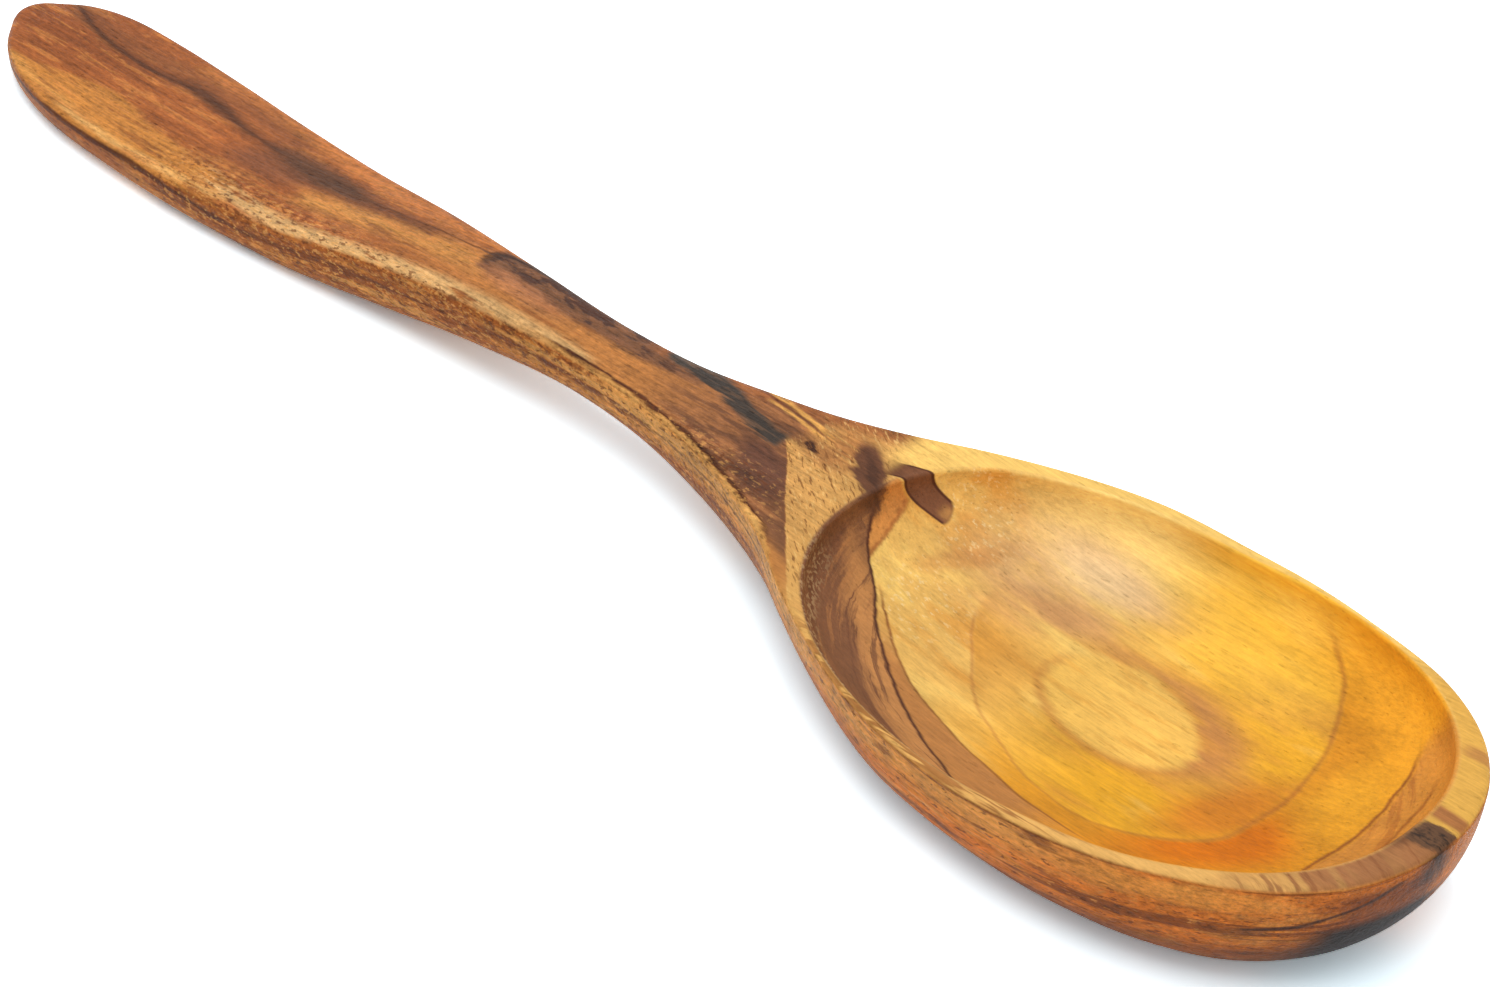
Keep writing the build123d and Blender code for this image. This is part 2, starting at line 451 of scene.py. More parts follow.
# Handle: red-brown heartwood, golden near side, dark streak, cream stripe partly of painted
# highlight.
mottle = cloud(grain, (0.07, 0.26, 0.26), 3.0, 0.62, (3, 6, 0))
blotches = cloud(grain, (0.06, 0.45, 0.45), 4.0, 0.68, (6, 2, 2))
colour = stain(dye(172, 104, 60), dye(190, 131, 78), fade(x, -60, -10))
colour = stain(colour, dye(198, 128, 76), streak([(-110, 12.6), (-80, 10.5), (-50, 8), (-20, 6.2)],
                                                 2.0, 1.5))
colour = stain(colour, dye(156, 92, 56), spot((-138, 5), (22, 8.5), 0, 0.5))

# The golden near side, and its pale edge, partly painted highlight on the rounded shoulder.
golden = near_of([(-150, -6), (-135, -8), (-124, -5.6), (-113, -3.6), (-101, -5.8), (-90, -6.6),
                  (-80, -7.5), (-70, -8)], 0.7) * fade(x, -70, -84)
colour = stain(colour, dye(206, 144, 76), golden * 0.85)
colour = stain(colour, dye(218, 160, 92), streak([(-149, -4), (-140, -8.6), (-120, -11.4),
                                                  (-98, -12.6), (-84, -11.6)], 0.8, 0.6) * 0.85)
colour = stain(colour, dye(232, 186, 124), streak([(-118, -12.4), (-100, -13.0), (-86, -12.4),
                                                   (-74, -11.6)], 0.7, 0.6)
               * fade(blotches, 0.36, 0.5) * 0.8)
colour = stain(colour, dye(206, 148, 86), streak([(-66, -3), (-50, -1), (-35, 0.5), (-24, 1)], 2.2,
                                                 2.0))

# Light and dark blotches, and a brown cloud in the middle.
colour = stain(colour, dye(210, 142, 82), fade(blotches, 0.52, 0.60) * fade(x, 20, 0) * 0.55)
colour = stain(colour, dye(138, 80, 46), fade(blotches, 0.45, 0.36) * fade(x, 20, 0) * 0.55)
colour = stain(colour, dye(132, 84, 62), spot((-76, -0.2), (10, 3.4), 6, 0.5) * 0.9)
colour = stain(colour, dye(143, 90, 60), streak([(-142, 8), (-125, 8), (-100, 8.6), (-76, 7.6)],
                                                2.2, 2.4) * 0.8)

# The dark streak, with a black-brown middle and two wider places.
dark_streak = [(-143, 9.4), (-133, 6.2), (-125, 5.2), (-112, 5.3), (-104, 6.2), (-88, 4.0),
               (-74, 3.7), (-59, 3.3), (-47, 2.8), (-38, 3.0)]
colour = stain(colour, dye(112, 68, 46), streak(dark_streak, 1.3, 1.3) * 0.75)
colour = stain(colour, dye(84, 52, 38), streak(dark_streak[:-2], 0.45, 0.4) * 0.8)
colour = stain(colour, dye(96, 66, 52), spot((-67, 3.4), (13, 2.9), -4, 0.6) * 0.95)
colour = stain(colour, dye(92, 58, 42), spot((-100, 5.8), (10, 1.4), -6, 0.5) * 0.7)
colour = stain(colour, dye(96, 58, 40), streak([(-56, 3.2), (-44, 3.6), (-37, 3.9), (-27, 4.1)],
                                               0.2, 0.3) * 0.8)

# A dark, cloudy patch before the neck, with a darker outline on its far side.
patch = streak([(-27, 3.2), (-20, 3.4), (-10, 3.1), (4, 3.6), (20, 4.9)], 2.9, 0.8,
               bent_y + (blotches - 0.5) * 3, 1.0)
colour = stain(colour, dye(126, 88, 66), patch)
cloudy = cloud(grain, (0.16, 0.42, 0.42), 3.0, 0.65, (5, 7, 3))
colour = stain(colour, dye(78, 52, 45), patch * fade(cloudy + bent_y * 0.03, 0.56, 0.66))
colour = stain(colour, dye(150, 104, 80), patch * fade(cloudy + bent_y * 0.03, 0.50, 0.40) * 0.7)
colour = stain(colour, dye(66, 44, 36), streak([(-28, 4.4), (-24, 5.8), (-18, 6.2), (-8, 6.1),
                                                (4, 6.2), (14, 6.6)], 0.4, 0.4))
colour = stain(colour, dye(66, 44, 36), spot((-27, 3.6), (1.2, 2.0), 10, 0.4) * 0.8)
colour = stain(colour, dye(188, 130, 96), spot((-17, 0.2), (9, 1.8), -4, 0.6) * 0.7)

# The cream stripe on the near side, ragged where it starts, is partly painted highlight.
# Pale wood with a painted highlight where the rounded near shoulder catches the light.
cream_and_highlight = streak([(-83, -8.4), (-72, -10.0), (-61, -10.3), (-53, -9.3), (-45, -8.3), (-36, -6.9),
                (-15, -5.4), (4, -5.2)], 1.55, 1.0, bent_y + (blotches - 0.5) * 2, 2.5)
colour = stain(colour, dye(230, 192, 142), cream_and_highlight * fade(blotches + (fray - 0.5) * 0.6
                                                        + fade(x, -86, -64) * 0.18, 0.46, 0.62)
               * 0.9)

# Neck: a dark field that ends on a sharp slanting line, dark cracks and a blue-grey patch.
crack = [(-30, -5.2), (-4, -5.0), (10, -5.2), (16, -5.6), (22, -6.5), (28, -7.5), (35, -9.3),
         (43, -11.7), (50, -14.5), (54, -18)]
under_crack = near_of(crack, 0.25) * fade(x, -14, 0)
edge_line = slow_x + slow_y + (fray - 0.5) * 0.8
near_half = fade(slow_y, 3.2, 1.8)
tan_wood = near_half * fade(edge_line, 39.0, 39.5) + (1 - near_half) * fade(bent_x, 36, 42)
field = (1 - tan_wood) * fade(x, 8, 30) * fade(bent_y + x * 0.30, -1.2, 1.5) * (1 - under_crack)
field_figure = cloud(grain, (0.05, 0.3, 0.3), 3.0, 0.6, (2, 5, 0))
colour = stain(colour, dye(216, 168, 106), tan_wood)
colour = stain(colour, dye(160, 110, 76), field)
colour = stain(colour, dye(118, 80, 60), field * fade(field_figure + x * 0.004, 0.58, 0.66) * 0.9)
colour = stain(colour, dye(104, 70, 60), field * spot((40, -5.6), (6.5, 3.4), -28, 0.35) * 0.9)

# The far edge: brown wood with two pale lines and a dark one.
far_edge = [(8, 6.6), (20, 7.6), (32, 9.8), (42, 12.4), (52, 16.0)]
colour = stain(colour, dye(160, 102, 64), streak(far_edge, 2.6, 1.6, ends=3.5) * 0.95)
for pale, half in (([(27, 8.8), (34, 8.0), (43, 6.8)], 0.42),
                   ([(30, 6.9), (36, 6.5), (42, 5.6)], 0.3)):
    colour = stain(colour, dye(224, 172, 100), streak(pale, half, 0.3, ends=1.5))
colour = stain(colour, dye(112, 68, 46), streak([(27, 7.9), (35, 7.3), (43, 6.2), (48, 4.8)], 0.2,
                                                0.25, ends=2) * 0.8)

# The blue-grey patch, and a small knot past its end.
slate = streak([(11, 6.0), (16, 5.4), (21, 4.8), (25, 3.7), (30, 2.0), (34, 1.2), (37.8, 0.9)],
               1.7, 0.7, bent_y + (blotches - 0.5) * 5, 1.0)
colour = stain(colour, dye(104, 84, 74), slate)
colour = stain(colour, dye(66, 60, 60), slate * fade(blotches + fade(slow_x, 14, 22) * 0.1, 0.50,
                                                     0.60))
colour = stain(colour, dye(176, 122, 78), spot((43.5, 3.2), (4.2, 2.0), -10, 0.7) * 0.8)
colour = stain(colour, dye(74, 44, 32), spot((41.0, 3.3), (1.5, 0.85), -22, 0.3))

# Nearer than the crack the wood is lighter, with lines that follow the crack.
colour = stain(colour, dye(206, 152, 92), under_crack)
colour = stain(colour, dye(228, 182, 116), streak([(p, q - 1.1) for p, q in crack[1:-1]], 0.6, 0.4)
               * under_crack)
colour = stain(colour, dye(150, 98, 58), streak([(p, q - 2.4) for p, q in crack[1:-1]], 0.3, 0.4)
               * under_crack * 0.8)
colour = stain(colour, dye(80, 44, 28), streak(crack[1:-1], 0.3, 0.25))

# Short ticks that lean across the tan wood.
leaning = Tone.node("ShaderNodeMapping", {"vector_type": "TEXTURE"},
                    {"Vector": grain, "Rotation": (0, 0, math.radians(-32))})
ticks = cloud(leaning, (0.45, 2.4, 2.4), 2.0, 0.6, (2, 7, 1))
colour = stain(colour, dye(132, 88, 50), (tan_wood + under_crack * 0.6) * fade(ticks, 0.57, 0.66)
               * fade(x, 70, 60) * 0.8)
colour = stain(colour, dye(238, 200, 140), tan_wood * fade(ticks, 0.42, 0.34) * fade(x, 70, 60)
               * 0.6)

# Bowl: golden sapwood in rings round the hollow, a dark crescent at the heel and a teardrop.
gold = stain(dye(235, 192, 116), dye(238, 180, 46), fade(x, 74, 106))
figure = cloud(grain, (0.03, 0.13, 0.13), 3.0, 0.55, (9, 1, 5))
gold = stain(gold, dye(216, 152, 66), fade(figure, 0.5, 0.64) * 0.7)
gold = stain(gold, dye(255, 222, 140), fade(figure, 0.46, 0.32) * 0.6)
# The far wall is paler towards the lip: partly the wood's colour, partly painted light.
gold = stain(gold, dye(255, 226, 152), fade(y, 14, 26) * fade(x, 60, 76) * fade(x, 100, 82) * 0.85)
gold = stain(gold, dye(255, 206, 84), fade(y, 10, 22) * fade(x, 82, 100) * fade(x, 128, 112)
             * 0.75)

# The ring round the middle, darker inside at the heel and deeper orange beyond it.
middle_ring = ([(164, 0.60), (177, 0.535), (199, 0.45), (232, 0.43), (249, 0.44), (262, 0.475),
                (277, 0.52), (291, 0.562), (307, 0.57), (322, 0.574), (338, 0.577), (356, 0.568),
                (375, 0.605), (391, 0.665), (398, 0.71), (409, 0.80), (418, 0.89), (424, 0.95),
                (436, 1.03)], 130)
middle_radius, middle_turn = ring(*middle_ring)
inside_middle = fade(middle_radius - out_share, -0.01, 0.02) * fade(middle_turn, 290, 250)
gold = stain(gold, dye(216, 158, 72), inside_middle * fade(x - y * 0.5, 94, 78)
             * fade(middle_turn, 14, 44) * 0.9)
# Partly painted shade: a darker, deeper orange patch on the near inner wall, which faces away from
# the light.
gold = stain(gold, dye(204, 120, 36), spot((120, -2), (9.5, 4.6), 63, 0.6) * 0.8)
beyond_middle = (fade(out_share - middle_radius, -0.004, 0.02)
                 * fade(middle_turn, 90, 170) * fade(middle_turn, 304, 288))
gold = stain(gold, dye(224, 154, 38), beyond_middle)
gold = stain(gold, dye(214, 120, 6), spot((124, -7.5), (13, 5.2), 50, 0.6) * beyond_middle)

# Under the far lip brighter wood and painted light; brighter wood at the tip; the ring's dark line.
gold = stain(gold, dye(252, 186, 58), fade(lip_share, 0.78, 0.95) * fade(y, 0, 14)
             * fade(x, 104, 120) * 0.7)
gold = stain(gold, dye(240, 182, 54), spot((132, 6), (5, 9), 10, 0.6) * 0.6)
gold = stain(gold, dye(212, 142, 62), spot((110.5, 6.5), (4, 3), 30, 0.8) * 0.5)
gold = stain(gold, dye(178, 110, 46), ring_line(middle_ring, 0.002, 0.016) * fade(x, 76, 110)
             * 0.6)
gold = stain(gold, dye(184, 124, 70), ring_line(middle_ring, 0.001, 0.012) * fade(x, 110, 76)
             * 0.5)

# A pale pinkish haze above the middle, partly painted sheen, then the brown round the oval.
haze_and_sheen = spot((79, 17), (14, 7.5), 20, 0.6)
gold = stain(gold, dye(222, 180, 138), haze_and_sheen * fade(figure + (fray - 0.5) * 0.3, 0.30, 0.60) * 0.85)
gold = stain(gold, dye(208, 156, 108), spot((78, 9.5), (10, 3.6), 30, 0.6)
             * fade(figure, 0.34, 0.54) * 0.85)
gold = stain(gold, dye(206, 146, 88), spot((66, 8.5), (6.5, 1.6), 62, 0.6) * 0.6)
gold = stain(gold, dye(202, 142, 88), spot((102.5, 6.5), (14.5, 8.2), -14, 0.35)
             * fade(figure, 0.30, 0.52) * 0.9)
# A painted highlight: a pale pink-white spot on the far wall, in place of the lamp's reflection.
gold = stain(gold, dye(255, 226, 190), spot((81, 20.3), (7.5, 3.0), 6, 0.9) * 0.75)

# The pale oval in the middle, with a dark outline on its near side.
gold = stain(gold, dye(190, 128, 66), spot((98.2, 3.2), (12.7, 8.0), -6, 0.10)
             * fade(y + x * 0.25, 31, 27) * 0.7)
gold = stain(gold, dye(247, 202, 110), spot((98.5, 3.7), (12.0, 7.4), -6, 0.12))
gold = stain(gold, dye(224, 168, 78), spot((98.5, 3.7), (12.0, 7.4), -6, 0.12)
             * fade(blotches, 0.5, 0.62) * 0.5)

# Towards the tip: a brown slope past a ring, with lines that follow the rings.
along_rings = Tone.node("ShaderNodeCombineXYZ", {}, {0: turned_share * 8, 1: out_share * 26,
                                                     2: 0.0})
heel_lines = cloud(along_rings, (1, 1, 1), 4.0, 0.62)
right_ring = ([(-36, 1.03), (-31, 0.97), (-24, 0.90), (-16, 0.845), (-8, 0.829), (-1, 0.836),
               (7, 0.85), (14, 0.87), (19, 0.897), (24, 0.917), (29, 0.955), (35, 0.998),
               (40, 1.04)], -60)
right_radius, right_turn = ring(*right_ring)
past_right = fade(out_share - right_radius, -0.004, 0.02) * between(right_turn, 24, 98, 4)
gold = stain(gold, dye(206, 142, 74), past_right * 0.8)
gold = stain(gold, dye(166, 96, 46), past_right * fade(heel_lines, 0.5, 0.62) * 0.5)
gold = stain(gold, dye(142, 80, 38), ring_line(right_ring, 0.003, 0.010) * 0.85)
gold = stain(gold, dye(146, 84, 42), ring_line(([(a, r + 0.11) for a, r in right_ring[0][2:-2]],
                                                -60), 0.003, 0.010) * 0.7)

# Near side of the hollow: a brown band, and the dark crescent outside it.
inner_ring = ([(188, 0.845), (199, 0.76), (208, 0.71), (223, 0.658), (237, 0.622), (250, 0.609),
               (263, 0.612), (273, 0.637), (287, 0.68), (298, 0.75)], 150)
inner_radius, inner_turn = ring(*inner_ring)
outer_ring = ([(168, 1.02), (178, 0.972), (184, 0.918), (192, 0.839), (203, 0.783), (214, 0.741),
               (226, 0.73), (239, 0.739), (251, 0.769), (260, 0.808), (272, 0.93), (280, 1.05)],
               150)
outer_radius, outer_turn = ring(*outer_ring)
gold = stain(gold, dye(192, 134, 82), fade(out_share - inner_radius, -0.004, 0.012)
             * between(inner_turn, 55, 135, 14))
gold = stain(gold, dye(140, 84, 44), ring_line(inner_ring, 0.003, 0.010) * 0.85)
heel = fade(out_share - outer_radius, -0.006, 0.006) * between(outer_turn, 16, 122, 5)
past_outer = out_share - outer_radius
crescent = stain(dye(196, 140, 92), dye(130, 88, 66), fade(past_outer + (heel_lines - 0.5) * 0.2,
                                                           0.06, 0.14))
crescent = stain(crescent, dye(112, 72, 54), fade(heel_lines, 0.53, 0.6) * 0.75)
crescent = stain(crescent, dye(176, 122, 82), fade(heel_lines, 0.44, 0.36) * 0.6)
crescent = stain(crescent, dye(118, 80, 62), fade(y, -7, 0) * fade(heel_lines, 0.3, 0.5) * 0.85)

# Pale specks and an orange corner at the heel, then the crescent over them.
specks = fade(cloud(grain, (0.9, 1.5, 1.5), 2.0, 0.6, (5, 5, 5)), 0.56, 0.68)
gold = stain(gold, dye(250, 226, 184), specks * (spot((63, 14.5), (6, 5), 0, 0.8)
                                                 + spot((67, -2), (6, 7), 20, 0.8)).least(1.0)
             * 0.6)
orange = (near_of([(52, 6.5), (54, 7.4), (55.8, 8.0), (58, 8.0)], 0.3)
          * fade(x + y * 0.24, 57.9, 57.3))
gold = stain(gold, dye(206, 136, 76), orange * 0.85)
gold = stain(gold, dye(150, 88, 48), between(x + y * 0.24 + (fray - 0.5) * 1.2, 57.2, 57.8, 0.25)
             * between(y, -3, 7.6, 1.0) * 0.6)
gold = stain(gold, crescent, heel)
gold = stain(gold, dye(186, 154, 126), heel * fade(lip_share, 0.93, 0.975) * fade(y, -6, -12)
             * fade(cloud(grain, (1.2, 1.8, 1.8), 2.0), 0.48, 0.6) * 0.75)
gold = stain(gold, dye(84, 46, 30), ring_line(outer_ring, 0.004, 0.010))
colour = stain(colour, gold, in_hollow)

# Rim: pale yellow on the far side and at the tip, with brown stripes and a small knot.
on_rim = outside_hollow * (1 - on_side)
colour = stain(colour, dye(252, 212, 132), on_rim * fade(y - (x - 48) * 0.1, 6, 12)
               * fade(x, 48, 52))
colour = stain(colour, dye(228, 180, 96), on_rim * fade(x, 122, 134))

# The near rim: cream with brown flecks, and slanted stripes towards the tip.
near_rim = on_rim * fade(y, 0, -8) * fade(x, 56, 66)
colour = stain(colour, dye(232, 184, 118), near_rim)
colour = stain(colour, dye(156, 98, 58), near_rim
               * fade(cloud(grain, (0.1, 1.6, 0.2), 2.0, 0.5, (2, 2, 2)) + between(x, 72, 104, 8)
                      * 0.08, 0.50, 0.58) * fade(x, 58, 70) * fade(x, 124, 106) * 0.8)
slanted = Tone.node("ShaderNodeMapping", {}, {"Vector": grain,
                                              "Rotation": (0, 0, math.radians(24))})
striped = on_rim * fade(y, 0, -3) * fade(x, 132, 138)
colour = stain(colour, dye(184, 130, 88), striped)
colour = stain(colour, dye(222, 174, 112), striped
               * fade(cloud(slanted, (0.05, 0.22, 0.1), 2.0, 0.5, (3, 1, 4)), 0.50, 0.56)
               * fade(y, -4, -13) * 0.85)
colour = stain(colour, dye(156, 106, 78), striped * fade(y, -20, -13) * 0.65)
colour = stain(colour, dye(146, 94, 64), striped
               * fade(cloud(slanted, (0.06, 0.8, 0.1), 3.0, 0.6, (5, 2, 4)), 0.52, 0.62) * 0.7)

# Brown bars across the tip, and the knot beside them.
colour = stain(colour, dye(178, 120, 78), on_rim * fade(x, 140, 143)
               * (between(bent_y, 2.0, 4.2, 0.5) + between(bent_y, 14.0, 16.2, 0.6)
                  * 0.7).least(1.0))
colour = stain(colour, dye(100, 66, 50), spot((144.8, -3.4), (1.5, 3.6), -18, 0.6) * 0.7)
knot = spot((147.6, -1.2), (4.2, 2.3), 14, 0.7)
fibre_ends = cloud(grain, (0.5, 1.1, 0.6), 3.0, 0.7, (3, 3, 9))
colour = stain(colour, dye(104, 76, 62), fade(knot + (blotches - 0.5) * 1.2 + (fibre_ends - 0.5)
                                              * 0.8, 0.35, 0.7) * outside_hollow)
colour = stain(colour, dye(56, 43, 40), fade(knot + (fibre_ends - 0.5) * 1.8, 0.85, 1.15)
               * outside_hollow)

# Two brown smears at the heel and the dark teardrop that runs from them into the hollow.
colour = stain(colour, dye(176, 122, 76), spot((46.5, 7.0), (5.0, 3.2), -20, 0.6)
               * fade(fray, 0.4, 0.55) * 0.9 * outside_hollow)
colour = stain(colour, dye(106, 70, 54), spot((50.2, 5.6), (5.8, 2.2), -44, 0.24))
colour = stain(colour, dye(78, 50, 40), spot((50.6, 5.6), (4.2, 0.7), -40, 0.5) * 0.8)
teardrop = [(49.6, 8.2), (51.6, 7.9), (53.8, 9.0), (56.3, 10.2), (58.3, 11.1), (61.0, 12.0)]
drop_end = spot((55.3, 9.8), (5.3, 4.4), 24, 0.08, (x, y))
colour = stain(colour, dye(84, 48, 34), streak(teardrop, 1.75, 0.12, across=y, ends=0.7,
                                               lengthwise=x) * drop_end * fade(x, 50.4, 53.6))
colour = stain(colour, dye(124, 82, 62), streak(teardrop, 1.4, 0.12, across=y, ends=0.6,
                                                lengthwise=x) * drop_end * fade(x, 51.4, 54.2))
colour = stain(colour, dye(200, 148, 92), streak(teardrop[-3:], 0.9, 0.5, across=y, ends=0.6,
                                                 lengthwise=x) * drop_end * fade(x, 58.2, 59.8)
               * 0.7)

# Side walls: grain lines run along the spoon, following its edge.
# The walls are darker than the top and towards the table: partly wood, partly painted shade.
along_edge = Tone.node("ShaderNodeCombineXYZ", {}, {0: x, 1: below_top, 2: fade(y, -3, 3) * 40})
side_lines = cloud(along_edge, (0.018, 0.42, 1), 4.0, 0.62, (4, 9, 2))
side_patches = cloud(along_edge, (0.09, 0.3, 1), 3.0, 0.65, (1, 5, 7))
side_flecks = cloud(along_edge, (0.45, 1.1, 1), 3.0, 0.65, (1, 1, 4))
side_colour = stain(dye(164, 98, 48), dye(208, 122, 52), fade(x, 60, 100))
side_colour = stain(side_colour, dye(222, 168, 102), between(x, 8, 72, 10)
                    * fade(below_top, 5.5, 2.5))
side_colour = stain(side_colour, dye(218, 160, 92), between(x, 72, 118, 10)
                    * fade(below_top + (side_patches - 0.5) * 8, 7, 2.5) * 0.8)
side_colour = stain(side_colour, dye(206, 140, 74), fade(side_patches, 0.5, 0.66) * 0.75)
side_colour = stain(side_colour, dye(118, 64, 32), fade(side_patches, 0.46, 0.34) * 0.7)
side_colour = stain(side_colour, dye(104, 56, 30), fade(side_lines, 0.54, 0.62) * 0.75)
side_colour = stain(side_colour, dye(224, 170, 104), fade(side_lines, 0.43, 0.36)
                    * fade(x, 125, 100) * 0.6)

# Two pale bands and two dark lines along the side of the neck.
neck_side = between(x, -14, 62, 10)
wavy_depth = below_top + (side_patches - 0.5) * 1.2
side_colour = stain(side_colour, dye(212, 160, 96), neck_side * between(wavy_depth, 1.5, 2.4, 0.5)
                    * 0.9)
side_colour = stain(side_colour, dye(92, 52, 30), neck_side * between(wavy_depth, 2.8, 3.1, 0.3))
side_colour = stain(side_colour, dye(204, 142, 76), neck_side * between(wavy_depth, 3.8, 5.2, 0.6)
                    * 0.8)
side_colour = stain(side_colour, dye(112, 64, 36), neck_side * between(wavy_depth, 5.9, 6.3, 0.35)
                    * 0.8)

# Flecks everywhere, and painted shade darkening the walls towards the table.
side_colour = stain(side_colour, dye(84, 46, 26), fade(side_flecks, 0.58, 0.66) * 0.75)
side_colour = stain(side_colour, dye(214, 150, 84), fade(side_flecks, 0.42, 0.34) * 0.6)
side_colour = stain(side_colour, dye(226, 158, 80), spot((128, -26), (12, 6), 30, 0.5)
                    * between(wavy_depth, 1.2, 4.5, 1.0) * 0.7)
# Painted shade: the walls are darker low down, where they turn under towards the table.
side_colour = stain(side_colour, dye(104, 58, 32), fade(below_top + (side_lines - 0.5) * 9, 9,
                                                        12.5) * fade(x, 30, 66) * 0.75)
side_colour = stain(side_colour, dye(104, 56, 30), fade(z, 3.0, 1.2) * fade(x, 60, 90) * 0.6)

# The tip: lighter on the far side, painted shade nearly black low on the near side, with a crack.
side_colour = stain(side_colour, dye(196, 122, 62), fade(x, 138, 144) * fade(y, 0, 5))
side_colour = stain(side_colour, dye(108, 58, 34), spot((147.5, -9), (8, 6), 40, 0.5)
                    * fade(below_top, 1.0, 3) * 0.8)
# Painted shade low on the near side of the tip, where it turns under.
side_colour = stain(side_colour, dye(34, 22, 19), fade(below_top, 6.5, 9.0)
                    * spot((146.5, -8), (12, 8), 35, 0.45))
side_colour = stain(side_colour, dye(64, 42, 34), spot((148.8, -3.0), (3.0, 1.4), 60, 0.8)
                    * fade(below_top + side_patches * 4, 11, 4))
crack_depth = curve_through(x, [(138, 7.4), (142, 6.6), (145.5, 5.0), (148.5, 2.5)], 0, 10)
side_colour = stain(side_colour, dye(60, 34, 24), fade(abs(wavy_depth - crack_depth), 0.5, 0.1)
                    * between(x, 137, 149, 1.0) * fade(y, 0, -3) * 0.9)
colour = stain(colour, side_colour, on_side)

# A dark line along the handle's near side.
near_line = curve_through(x, [(-150, 2.6), (-138, 1.9), (-124, 1.2), (-110, 0.8), (-95, 0.8),
                              (-85, 1.3), (-76, 2.4), (-62, 3.6)], 0, 10)
colour = stain(colour, dye(82, 42, 22), fade(abs(below_top + (side_patches - 0.5) * 1.0
                                                 - near_line), 0.6, 0.2) * fade(y, -2, -6)
               * fade(x, -62, -74) * outside_hollow * 0.9)

# Torn grain: small dark and light tears where the handle's near edge and flanks were cut across.
torn = cloud(grain, (0.8, 1.5, 1.5), 2.0, 0.6, (6, 1, 5))
where_torn = between(x, -92, 46, 12) * fade(y, -3.5, -8).most(on_side) * outside_hollow
colour = stain(colour, dye(112, 62, 30), where_torn * fade(torn, 0.54, 0.62)
               * fade(blotches, 0.40, 0.52) * 0.75)
colour = stain(colour, dye(226, 172, 108), where_torn * fade(torn, 0.44, 0.37) * 0.55)

# Over everything: long soft streaks, fine fibres and short pores along the grain.
streaks = cloud(grain, (0.016, 0.3, 0.3), 4.0, 0.62, (0, 2, 6))
fibres = cloud(grain, (0.12, 2.2, 2.2), 3.0, 0.7, (5, 0, 3))
pores = Tone.node("ShaderNodeTexVoronoi", {}, {"Vector": stretched(bent, (0.26, 1.5, 1.5)),
                                               "Scale": 1.0})
many = cloud(grain, (0.03, 0.2, 0.2), 2.0, 0.5, (8, 8, 8)) + haze_and_sheen * 0.1
pore = fade(pores, 0.20, 0.10) * fade(many, 0.42, 0.56)
# The handle, the neck and the flanks are rougher than the rim and the hollow.
rough_wood = fade(x, 62, 40).most(on_side)
grit = cloud(grain, (0.6, 1.2, 1.2), 3.0, 0.75, (9, 4, 1))
depth = 1 + rough_wood * 0.9
patchy = cloud(bent, (0.07, 0.13, 0.2), 3.0, 0.6, (2, 9, 2))
# Besides the grain, the tone lifts the far wall just below the lip: painted light.
shade = (1 + (streaks - 0.5) * 0.45 * depth + (patchy - 0.56) * in_hollow * 0.6
         + fade(lip_share, 0.78, 0.98) * fade(y, 0, 14) * in_hollow * 0.14
         + (fibres - 0.5) * 0.7 * depth + (mottle - 0.5) * rough_wood * 0.5
         + (grit - 0.5) * (rough_wood * 1.0 + 0.40) - pore * (0.12 + rough_wood * 0.2))

# The sheen adds a little white, so the wood under it is a little yellower than its dyes.
oiled = stain((1.0, 0.93, 0.70, 1), (0.98, 0.87, 0.68, 1), rough_wood)
toned = vector("MULTIPLY", vector("MULTIPLY", colour, oiled),
               Tone.node("ShaderNodeCombineXYZ", {}, {0: shade, 1: shade, 2: shade}))

# Relief: tears, fibres, blotches and grit stand up a little, and pores are sunk.
relief = (torn * where_torn * 3.0 + (fibres * 0.6 + streaks * 0.4 + fray * 0.8) * depth
          + (mottle * 1.5 + blotches * 1.2 + grit * 1.6) * rough_wood - pore * 0.9)
bump = Tone.node("ShaderNodeBump", {}, {"Strength": 0.5, "Distance": 0.0003, "Height": relief})
shader = wood.node_tree.nodes["Principled BSDF"]
Tone.tree.links.new(toned.socket, shader.inputs["Base Color"])
Tone.tree.links.new((0.42 + fibres * 0.2 + pore * 0.2).socket, shader.inputs["Roughness"])
Tone.tree.links.new((in_hollow * 0.16).socket, shader.inputs["Coat Weight"])
Tone.tree.links.new(bump.socket, shader.inputs["Normal"])
shader.inputs["Specular IOR Level"].default_value = 0.1
shader.inputs["Coat Roughness"].default_value = 0.42

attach(carved_spoon, "root")
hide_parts("spoon")


# The spoon lies on a plain white table under soft lamps. Light falls on a table of plain white, and
# the camera sees a brighter and slightly cooler one, which ends white and keeps the spoon's shadow
# as dark and as close to it as on a photographer's table.
table_size = 6.0
table_white = 0.9
table_seen = (1.892, 2.2, 2.354)


def seen_directly(nodes, links):
    """1 for rays that look: the camera's own, and those that metal or glass passes on."""
    ray = nodes.new("ShaderNodeLightPath")
    share = ray.outputs["Is Camera Ray"]
    for name in ("Is Glossy Ray", "Is Transmission Ray"):
        larger = nodes.new("ShaderNodeMath")
        larger.operation = "MAXIMUM"
        links.new(share, larger.inputs[0])
        links.new(ray.outputs[name], larger.inputs[1])
        share = larger.outputs[0]
    return share


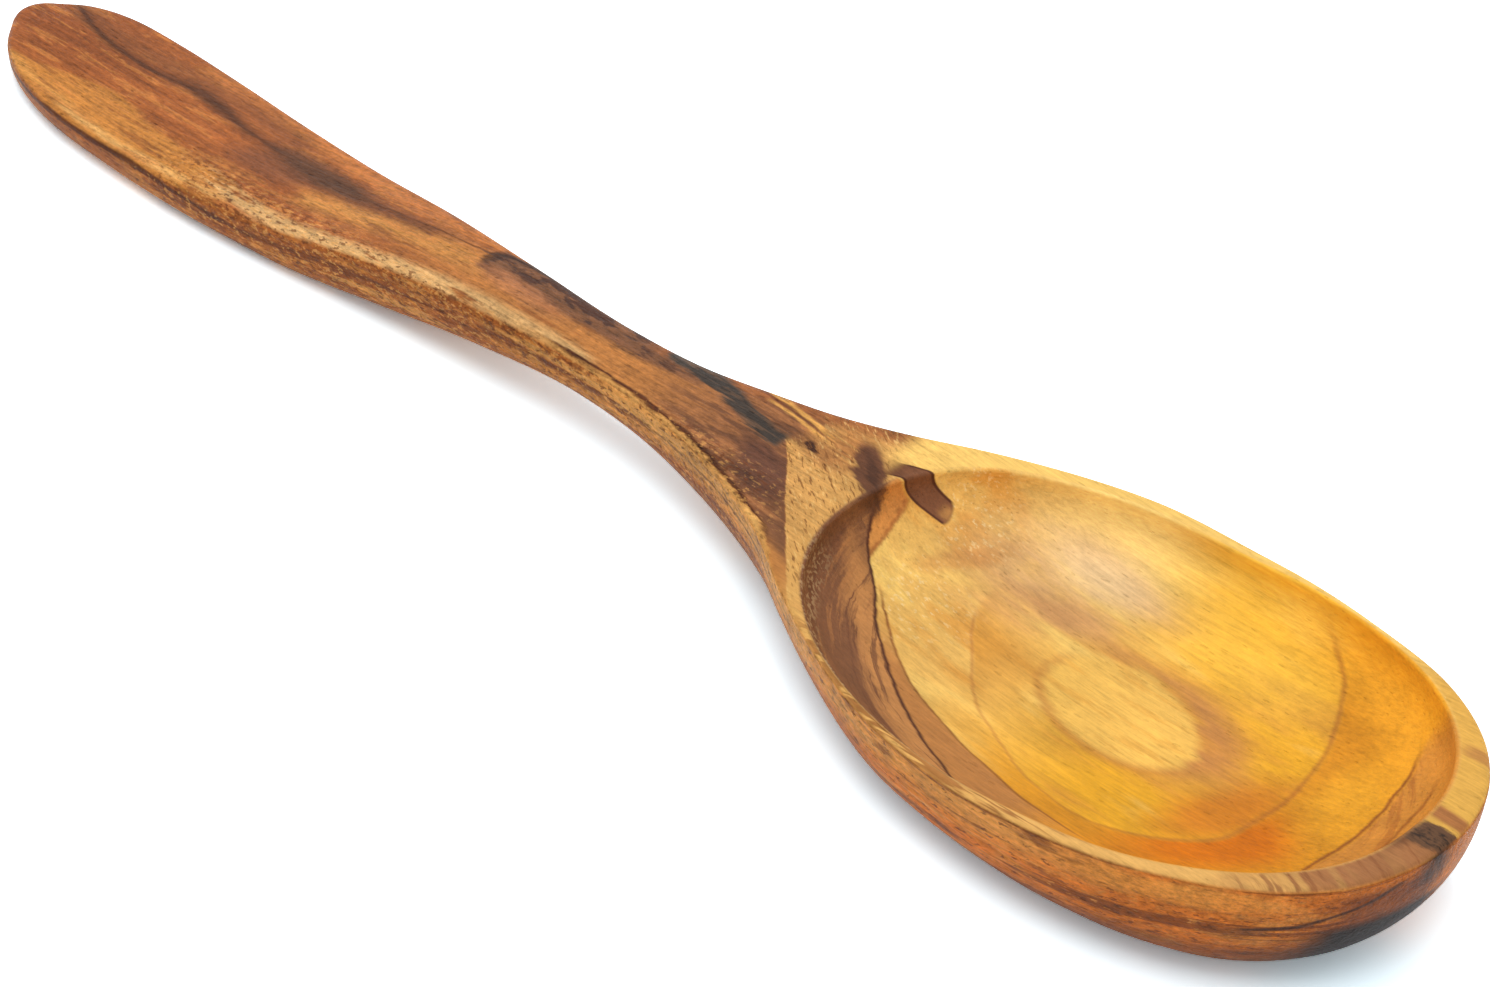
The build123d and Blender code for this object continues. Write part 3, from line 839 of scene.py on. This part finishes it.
table_mesh = bpy.data.meshes.new("table")
corner = table_size / 2
table_mesh.from_pydata([(-corner, -corner, 0), (corner, -corner, 0), (corner, corner, 0),
                        (-corner, corner, 0)], [], [(0, 1, 2, 3)])
table = bpy.data.objects.new("table", table_mesh)
bpy.context.scene.collection.objects.link(table)
table_paint = bpy.data.materials.new("table_white")
table_paint.use_nodes = True
table_mesh.materials.append(table_paint)
nodes, links = table_paint.node_tree.nodes, table_paint.node_tree.links
nodes.clear()
choice = nodes.new("ShaderNodeMixShader")
for socket, shown in ((1, (table_white,) * 3), (2, table_seen)):
    matt = nodes.new("ShaderNodeBsdfDiffuse")
    matt.inputs["Color"].default_value = (*shown, 1)
    links.new(matt.outputs[0], choice.inputs[socket])
links.new(seen_directly(nodes, links), choice.inputs["Fac"])
out = nodes.new("ShaderNodeOutputMaterial")
links.new(choice.outputs[0], out.inputs["Surface"])

# The room is white all round. It shows as full white and lights the spoon with less.
room_light = 0.58
world = bpy.data.worlds.new("room")
bpy.context.scene.world = world
world.use_nodes = True
nodes, links = world.node_tree.nodes, world.node_tree.links
room = nodes["Background"]
room.inputs["Color"].default_value = (1, 1, 1, 1)
strength = nodes.new("ShaderNodeMapRange")
strength.inputs["To Min"].default_value = room_light
strength.inputs["To Max"].default_value = 1.0
links.new(seen_directly(nodes, links), strength.inputs["Value"])
links.new(strength.outputs[0], room.inputs["Strength"])


def soft_lamp(name, place, size, power):
    """A square lamp at a place in metres, turned towards the spoon."""
    data = bpy.data.lights.new(name, "AREA")
    data.shape, data.size, data.energy = "SQUARE", size, power
    lamp = bpy.data.objects.new(name, data)
    bpy.context.scene.collection.objects.link(lamp)
    back = np.array(place) / np.linalg.norm(place)
    right = np.cross([0.0, 0.0, 1.0], back)
    right /= np.linalg.norm(right)
    turned = np.eye(4)
    turned[:3, 0], turned[:3, 1], turned[:3, 2] = right, np.cross(back, right), back
    turned[:3, 3] = place
    lamp.matrix_world = mathutils.Matrix(turned.tolist())


soft_lamp("window_lamp", (-0.32, 0.32, 1.2), 0.4, 4.2)
soft_lamp("near_lamp", (0.20, -0.30, 1.2), 0.7, 3.8)
